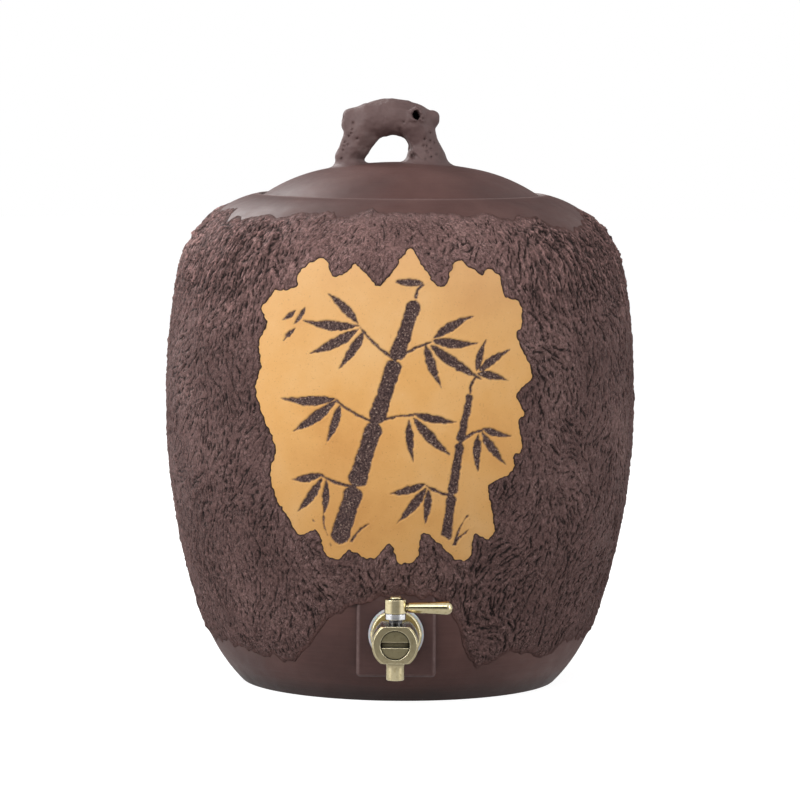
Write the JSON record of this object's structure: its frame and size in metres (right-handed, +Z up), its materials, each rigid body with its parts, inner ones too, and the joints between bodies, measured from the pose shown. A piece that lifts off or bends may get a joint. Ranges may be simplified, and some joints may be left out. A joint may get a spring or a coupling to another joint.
{
  "type": "clay water pot with tap",
  "caption": "Barrel-shaped unglazed clay water pot with bark-textured coat, ochre front panel, sunk domed lid with a branch-shaped handle, and a small brass quarter-turn tap near the foot.",
  "frame": {"origin": "centre of the flat underside of the foot, on the jar's axis", "axes": "+Z up along the jar's axis; the tap points to -Y; the shut lever points to +X"},
  "size_m": [0.2514, 0.2777, 0.311],
  "materials": {
    "clay": "smooth unglazed purple-brown stoneware with a soft sheen",
    "bark_clay": "rough bark-textured unglazed stoneware",
    "ochre_clay": "matt ochre clay slip",
    "antique_brass": "antique brass plating, satin",
    "chrome": "bright chrome",
    "steel": "stainless steel",
    "white_silicone": "translucent white silicone",
    "black_rubber": "black rubber",
    "white_plastic": "white low-friction plastic"
  },
  "bodies": {
    "pot": {"pot_base": "clay", "pot_foot": "clay", "pot_lower_wall": "clay", "pot_upper_wall": "clay", "pot_shoulder_bend": "clay", "pot_shoulder": "clay", "pot_ledge": "clay", "tap_pad": "clay", "bark_coat": "bark_clay", "ochre_panel": "ochre_clay", "outer_seal": "white_silicone", "wall_flange": "antique_brass", "tap_body": "antique_brass", "inner_seal": "white_silicone", "inner_washer": "steel", "shank_nut": "antique_brass", "rear_seat": "white_plastic", "front_seat": "white_plastic", "plug_seal": "black_rubber", "front_plug": "antique_brass", "thrust_washer": "white_plastic", "gland_nut": "chrome", "stop_pin": "steel", "spout": "antique_brass"},
    "lid": {"lid": "clay", "lid_handle": "clay"},
    "lever": {"lever_hub": "antique_brass", "lever_rod": "antique_brass", "lever_screw": "antique_brass", "valve_stem": "steel", "valve_ball": "chrome", "stem_ring": "black_rubber"}
  },
  "joints": [
    {"name": "lid_lift", "type": "slide", "parent": "pot", "child": "lid", "axis": [0, 0, 1], "range_m": [0, 0.08]},
    {"name": "lever_turn", "type": "hinge", "parent": "pot", "child": "lever", "pos_m": [0, -0.1415, 0.0577], "axis": [0, 0, 1], "range_deg": [-90, 0]}
  ]
}
